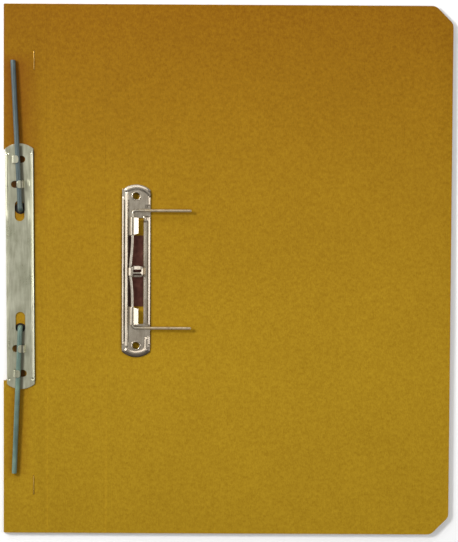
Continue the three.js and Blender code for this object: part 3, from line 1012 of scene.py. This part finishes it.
def bar_relief(x, y):
    """Rolled long edges that die away before the arc ends, and a low wavy shoulder inside each."""
    z = np.zeros(np.shape(x))
    half, last = BAR_WIDTH / 2, BAR_RIDGE_END
    wide = np.exp(-(((y - 36.0) / 9.0) ** 4)) + np.exp(-(((y - 57.0) / 2.6) ** 4))
    # Side, the roll's least share with where and over how far it grows, flanks, and swell
    for side, (least, start, run), roll_flanks, low_flanks, swell in (
        (-1, (0.24, 30.0, 12.0), (1.2, 0.5), (1.0, 0.7), 0.0),
        (1, (0.5, -30.0, 50.0), (0.5, 1.2), (0.9, 0.5), 0.14),
    ):
        waist = least + (1 - least) * smooth_step((y - start) / run)
        z += waist * straight_bead(x, y, side * (half - 1.2), -last, last, *roll_flanks, 0.6)
        shoulder = side * (half - 2.9)
        wave = 0.02 * np.sin(y / 7.0 + side) + 0.02 * np.sin(y / 3.1 + 2 * side)
        z += (0.05 + wave + swell * wide) * straight_bead(
            x, y, shoulder, 1 - last, last - 1, *low_flanks, 1.0, 0.2
        )
        for end in (-1, 1):
            dent = np.hypot(x - side * 7.9, y - end * (last + 1.0))
            lift = np.hypot(x - side * 8.7, (y - end * (last + 1.2)) / 1.4)
            z += 0.2 * np.exp(-((lift / 0.5) ** 2)) - 0.35 * np.exp(-((dent / 0.6) ** 2))
    return z


def lanced_tab(y, side):
    """A strap that stands up from the bar and bends over the tube to a rounded tip."""
    root = TAB_SHIFT + side * (TAB_ROOT - TAB_SHEET / 2)
    tip_end = TAB_SHIFT - side * (TAB_WIDTH / 2 - TAB_TIP_CENTRE)
    height = TAB_BOTTOM + TAB_SHEET / 2
    points = [
        (root + side * 0.3, y, BAR_TOP - 0.4),
        (root, y, BAR_TOP + 1.0),
        (root - side * 0.1, y, height + 0.05),
        (tip_end, y, height - 0.1),
    ]
    path = dense_path(smooth_path(points, (0.6, 1.1), steps=7), 0.3)
    rings = []
    half_width, round_by = TAB_WIDTH / 2 + 0.2, 1.7
    for p in path:
        to_tip = abs(p[0] - tip_end) if p[2] > height - 0.5 else round_by
        t = min(to_tip, round_by)
        ease = round_by - math.sqrt(max(round_by**2 - (round_by - t) ** 2, 0))
        rings.append(strap_ring(max(half_width - ease, 0.3), TAB_SHEET / 2))
    return sweep(path, rings, side=(0, 1, 0))


def lance_outline(y, side):
    """The hole that a tab was lanced out of: straight at its root and round at its tip."""
    radius = TAB_WIDTH / 2
    near = TAB_SHIFT + side * (TAB_ROOT - TAB_SHEET)
    centre = TAB_SHIFT + side * (radius - TAB_LANCE)
    root = [(near, y - side * radius), (near, y + side * radius)]
    return root + arc(centre, y, radius, side * 90, side * 90 + 180, 16)


def pressed_sheet(name, node, body, plate, holes, tabs_name, tabs, place, look, clear):
    """A pressed plate with holes cut through it, and the tabs that were bent up from it."""
    verts, faces = plate
    obj = make(name, placed(verts, *place), faces, material=look)
    cut(obj, [placed(hole, *place) for hole in holes], CARD_TOP - 1, clear)
    assign(obj, body, node)
    verts, faces = merged(*tabs)
    make(tabs_name, placed(verts, *place), faces, body, None, "plated_steel", look, crease=50)


pressed_sheet(
    "bar_sheet",
    "compressor_bar",
    "flap",
    pressed_plate(BAR_WIDTH, BAR_LENGTH, BAR_END_RADIUS, bar_relief, BAR_TOP, 90, 420),
    [stadium(s * BAR_SLOT_Y, BAR_SLOT_WIDTH, BAR_SLOT_LENGTH) for s in (1, -1)]
    + [lance_outline(y, side) for y, side in TABS],
    "bar_tabs",
    [lanced_tab(y, side) for y, side in TABS],
    (BAR_X, BAR_Y, BAR_SKEW),
    BAR_LOOK,
    clear=6,
)


# Tubes


def tube(name, node, side, length, lean, bodies):
    """A hollow tube: up out of its card hole, over along the bar, and down to an open tip."""
    root_y = MECHANISM_Y + side * PRONG_REACH
    start_y = MECHANISM_Y + side * TUBE_START

    def on_tube(run, height):
        return (TUBE_X - lean * run / length, start_y + side * run, height)

    points = [
        (TUBE_X, root_y, MARGIN_TOP + 0.9),
        (TUBE_X, root_y, TUBE_Z),
        on_tube(TUBE_LEVEL, TUBE_Z),
        on_tube(length, TUBE_Z - TUBE_DROOP),
    ]
    path = dense_path(smooth_path(points, TUBE_BENDS, steps=12), 1.5)
    rows, steps = len(path), 28
    outer = [TUBE_RADIUS] * (rows - 1) + [TUBE_RADIUS - 0.12]
    verts = []
    for radii in (outer, [TUBE_BORE] * rows):
        verts += swept_points(path, [disc(0, 0, r, steps) for r in radii], (1, 0, 0))
    inside = rows * steps
    faces = skin(rows, steps)
    faces += [tuple(inside + i for i in reversed(quad)) for quad in faces]
    for first in (0, inside - steps):
        for j in range(steps):
            a, b = first + j, first + (j + 1) % steps
            faces.append((a, b, b + inside, a + inside))
    obj = make(name, verts, faces, None, node, "tube_plastic", TUBE_LOOK, crease=60)
    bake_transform(obj)


tube("upper_tube_skin", "upper_tube", 1, *UPPER_TUBE, ("flap", "tube_above"))
tube("lower_tube_skin", "lower_tube", -1, *LOWER_TUBE, ("flap", "tube_below"))


# Spring clip


# The curved beads near the plate's ends, and the rib that turns up from the lower one
arc_left = 3.3 - PLATE_WIDTH / 2
upper_reach, lower_reach = PLATE_END_RADIUS - 2.1, PLATE_END_RADIUS - 2.7
upper_turn = math.degrees(math.acos(arc_left / upper_reach))
lower_turn = math.degrees(math.acos(arc_left / lower_reach))
TOP_ARC = arc(0, PLATE_BODY, upper_reach, 36, upper_turn, 18)
BOTTOM_ARC = arc(0, -PLATE_BODY, lower_reach, -lower_turn, -52, 18)
TURNED_RIB = [BOTTOM_ARC[-1], (7.4, -51.5), (7.5, -46.6)]


def plate_relief(x, y):
    """Raised beads, a dished seat under each eyelet, and a notch in the right edge."""
    half = PLATE_WIDTH / 2
    reach = PLATE_BODY + 5.0
    beads = [
        bead(x, y, TOP_ARC, 1.85, 0.85, 0.9),
        bead(x, y, BOTTOM_ARC, 1.8, 0.8, 0.9),
        bead(x, y, TURNED_RIB, 1.7, 0.62, 0.7),
    ]
    # Middle, lower and upper end, left and right flank, height, and half width of a flat crown
    for straight in (
        (3.55 - half, -51.0, 53.0, 1.5, 0.6, 0.64, 0.1),
        (half - 2.3, -35.0, 35.4, 2.0, 0.45, 0.4, 0.4),
        (half - 2.7, 34.4, 35.9, 1.9, 1.9, 0.95, 0.5),
        (half - 0.85, 45.4, reach, 0.5, 0.85, 0.42),
        (0.85 - half, -reach, reach, 0.85, 0.5, 0.42),
        (half - 1.15, -36.5, 36.5, 0.5, 1.15, 0.56),
        (half - 1.15, -reach, -45.4, 0.5, 1.15, 0.56),
    ):
        beads.append(straight_bead(x, y, *straight))
    z = np.maximum.reduce(beads)
    for side in (-1, 1):
        dish = np.hypot(x, y - side * EYELET_REACH)
        z -= 0.16 * np.exp(-((dish / 4.2) ** 4))
    notch = np.hypot((x - half + 1.9) / 1.6, y - 43.9)
    return z - 0.3 * np.exp(-((notch / 0.5) ** 2))


def window_outline():
    """The long window, wider to the left between the two hinge curls."""
    left, narrow, right = -5.5, -3.55, 5.1
    end = CURL_END - 0.5
    upper = [(right, end), (narrow, end), (narrow, CURL_START), (left, CURL_START)]
    points = [(x, -y) for x, y in reversed(upper)] + upper
    return rounded_polygon(points, (0.5, 0, 0.5, 0.8, 0.8, 0.5, 0, 0.5))


def hinge_curl(side):
    """A tab that rises left of the wire, curls over it and ends in a flat sloping lip."""
    middle = CURL_INNER + CURL_SHEET / 2
    x0, z0 = WIRE_X - PLATE_X, WIRE_Z
    path = [(x0 - middle - 0.1, PLATE_TOP - 0.4), (x0 - middle, PLATE_TOP + 0.6)]
    path += arc(x0, z0, middle, 180, ROLL_END, 16)
    start_x, start_z = path[-1][0] + 0.25, path[-1][1] - 0.32
    for run in np.linspace(0, LIP_REACH + x0 - start_x, 9):
        path.append((start_x + run, start_z - run * math.tan(math.radians(LIP_SLOPE))))
    rings, centres = [], []
    for x, z in path:
        share = max(0.0, (x - x0) / LIP_REACH)
        low = side * (CURL_START + LIP_SLANT * share)
        high = side * (CURL_END - LIP_SLANT / 5 * share)
        centres.append((x, (low + high) / 2, z))
        rings.append(strap_ring(abs(high - low) / 2, CURL_SHEET / 2 * (1 - 0.35 * share), 0.16))
    return sweep(centres, rings, side=(0, 1, 0))


def eyelet(name, node, y):
    """A rolled ring that grips the card from below and the plate from above."""
    low, high = CARD_BOTTOM, PLATE_TOP
    bore, barrel, flange = EYELET_BORE, EYELET_BARREL, EYELET_FLANGE
    profile = [
        (bore + 0.3, low - 0.3), (flange - 0.1, low - 0.28), (flange, low - 0.15),
        (flange - 0.05, low), (barrel, low), (barrel, high), (flange - 0.06, high),
        (flange, high + 0.1), (flange - 0.15, high + 0.26), (flange - 0.4, high + 0.35),
        (bore + 0.45, high + 0.33), (bore + 0.15, high + 0.16), (bore, high - 0.2),
        (bore, low + 0.1), (bore + 0.1, low - 0.18),
    ]
    solid = turned(PLATE_X, y, profile)
    make(name, *solid, "back_cover", node, "plated_steel", CLIP_LOOK, crease=60)


def wire_bail():
    """One wire: a crank in its middle, two straight pivots and two prongs with round tips."""

    def half(side):
        curve = ((-CRANK_REACH, 0), (-CRANK_REACH, CRANK_START / 3), (0, CRANK_START / 2))
        crank = cubic(*(np.array(p, float) for p in curve + ((0, CRANK_START),)), 21)
        corner = ((0, CRANK_START), (0, PRONG_REACH), (PRONG_LENGTH, PRONG_REACH))
        line, prong = (
            [(WIRE_X + x, MECHANISM_Y + side * y, WIRE_Z) for x, y in points]
            for points in (crank[:-1], corner)
        )
        return line + smooth_path(prong, (WIRE_BEND,), steps=14)

    solid = rod(half(-1)[::-1][:-1] + half(1), ROD_RADIUS, 6, 24, side=(0, 0, 1))
    make("bail_rod", *solid, "bail", "wire_bail", "bail_wire", WIRE_LOOK, crease=60)


def leaf():
    """A bowed strip of tempered steel in the plate's window."""
    middle, half_width = (LEAF_LEFT + LEAF_RIGHT) / 2, (LEAF_RIGHT - LEAF_LEFT) / 2
    path = [
        (middle, PLATE_Y + y, CARD_TOP + LEAF_HALF_SHEET + LEAF_BOW * (1 - (y / LEAF_HALF) ** 2))
        for y in np.linspace(-LEAF_HALF, LEAF_HALF, 49)
    ]
    rings = [strap_ring(half_width, LEAF_HALF_SHEET, 0.1)] * len(path)
    solid = sweep(path, rings, side=(1, 0, 0))
    make("leaf_strip", *solid, "back_cover", "leaf_spring", "spring_steel", LEAF_LOOK, crease=50)


def saddle():
    """A strap hooked round the crank from the left, flat over the leaf, with two slots."""
    middle = WIRE_RADIUS + CRANK_REACH + 0.25 + SADDLE_SHEET / 2
    right = WIRE_X + SADDLE_REACH - SADDLE_SHEET / 2
    top = WIRE_Z + middle
    bend = SADDLE_BEND
    slope_start = right - bend - SADDLE_SLOPE_RUN
    shoulder = top - SADDLE_SLOPE_RUN * SADDLE_FALL
    hook = arc(0, 0, middle, 205, 92, 17)
    points = [(WIRE_X + SADDLE_HOOK * a, WIRE_Z + b) for a, b in hook]
    points += [(x, top) for x in np.linspace(WIRE_X + 0.3, slope_start, 12)]
    for run in np.linspace(0, SADDLE_SLOPE_RUN, 6)[1:]:
        points.append((slope_start + run, top - run * SADDLE_FALL))
    points += arc(right - bend, shoulder - bend, bend, 55, 0, 5)
    wall_top = shoulder - bend - 0.4
    for z in np.linspace(wall_top, CARD_TOP + 1.0, 6):
        points.append((right - 0.16 * (wall_top - z), z))
    rings = []
    for x, z in points:
        narrow = 0.7 + 0.3 * min(max((x - WIRE_X + 0.9) / 1.4, 0), 1)
        over = min(max(x - right + SADDLE_CORNER, 0), SADDLE_CORNER)
        ease = SADDLE_CORNER - math.sqrt(SADDLE_CORNER**2 - over**2)
        fall = SADDLE_FALL * min(max((x - WIRE_X + 0.2) / 1.2, 0), 1)
        flat = SADDLE_FLAT + max(x - slope_start, 0)
        half_width = SADDLE_LENGTH / 2 * narrow - ease
        rings.append(flanked_ring(half_width, SADDLE_SHEET / 2, flat, fall))
    solid = sweep([(x, SADDLE_Y, z) for x, z in points], rings, side=(0, 1, 0))
    obj = make("saddle_strap", *solid, material=CLIP_LOOK, crease=50)
    slots = []
    for shift, width in SADDLE_SLOTS:
        low = SADDLE_Y + shift - width / 2
        corners = rectangle(WIRE_X + 0.6, WIRE_X + 6.2, low, low + width)
        slots.append(rounded_polygon(corners, (0.3,) * 4))
    cut(obj, slots, top - 2.0, top + 1.0, crease=50)
    assign(obj, "back_cover", "wire_saddle")


pressed_sheet(
    "clip_sheet",
    "spring_base_plate",
    "back_cover",
    pressed_plate(PLATE_WIDTH, PLATE_LENGTH, PLATE_END_RADIUS, plate_relief, PLATE_TOP, 120, 520),
    [window_outline()] + [disc(0, s * EYELET_REACH, EYELET_BARREL + HOLE_PLAY) for s in (1, -1)],
    "clip_curls",
    [hinge_curl(1), hinge_curl(-1)],
    (PLATE_X, PLATE_Y),
    CLIP_LOOK,
    clear=7,
)
eyelet("upper_eyelet_ring", "upper_plate_eyelet", eyelet_ys[0])
eyelet("lower_eyelet_ring", "lower_plate_eyelet", eyelet_ys[1])
wire_bail()
leaf()
saddle()

# The steel strip and its pegs stay as they are packed, in the near-black painted-shade look
for node in ("tube_strip", "upper_tube_peg", "lower_tube_peg"):
    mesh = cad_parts[node].data
    mesh.materials.clear()
    mesh.materials.append(STRIP_LOOK)


# Studio

mesh = bpy.data.meshes.new("floor")
corners = rectangle(-FLOOR_REACH, FLOOR_REACH, -FLOOR_REACH, FLOOR_REACH)
mesh.from_pydata([(x, y, FLOOR_Z) for x, y in corners], [], [(0, 1, 2, 3)])
look = Look("pale_floor")
tone = look.ramp(look.noise(3), (0.3, 0.93), (0.7, 0.95))
mesh.materials.append(look.set(Base_Color=tone, Roughness=0.9, Specular_IOR_Level=0.1))
added("floor", mesh)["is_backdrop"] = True

scene = bpy.context.scene
scene.view_settings.view_transform = "Standard"
scene.view_settings.look = "None"

# A dim surround that grows brighter overhead
sky = Look("studio", "worlds", "Background", "Generated")
tone = sky.ramp(sky.along("Z"), (0.5, 0.09), (0.95, (0.5, 0.5, 0.49, 1)))
scene.world = sky.set(Color=tone)

# Rectangular lights that face the middle of the cover: name, place, size and watts
for name, place, size, watts in (
    ("key", (-0.88, 0.52, 0.92), (0.3, 0.3), 13.2),
    ("left", (-1.13, 0, 0.65), (0.36, 1.0), 3.0),
    ("right", (1.13, 0, 0.65), (0.36, 1.0), 3.6),
    ("high", (-0.25, 1.13, 0.65), (2.1, 0.36), 6.8),
    ("low", (0, -1.13, 0.65), (1.0, 0.36), 0.25),
    ("lip", (0.75, 0, 1.3), (0.36, 0.36), 2.8),
):
    data = bpy.data.lights.new(name, "AREA")
    data.shape = "RECTANGLE"
    data.size, data.size_y = size
    data.energy = watts
    light = added(name, data)
    light.location = place
    light.rotation_euler = (-Vector(place)).to_track_quat("-Z", "Y").to_euler()

camera_data = bpy.data.cameras.new("photo_camera")
camera_data.sensor_fit = "VERTICAL"
camera_data.sensor_height = SENSOR_HEIGHT
camera_data.lens = FOCAL_PIXELS / IMAGE_HEIGHT * SENSOR_HEIGHT
camera_data.clip_start = 0.01
camera = added("photo_camera", camera_data)
camera.matrix_world = (
    Matrix.Translation(CAMERA_TARGET)
    @ Euler([math.radians(a) for a in CAMERA_TURN]).to_matrix().to_4x4()
    @ Matrix.Translation((0, 0, CAMERA_DISTANCE))
)
scene.camera = camera

low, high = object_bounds()
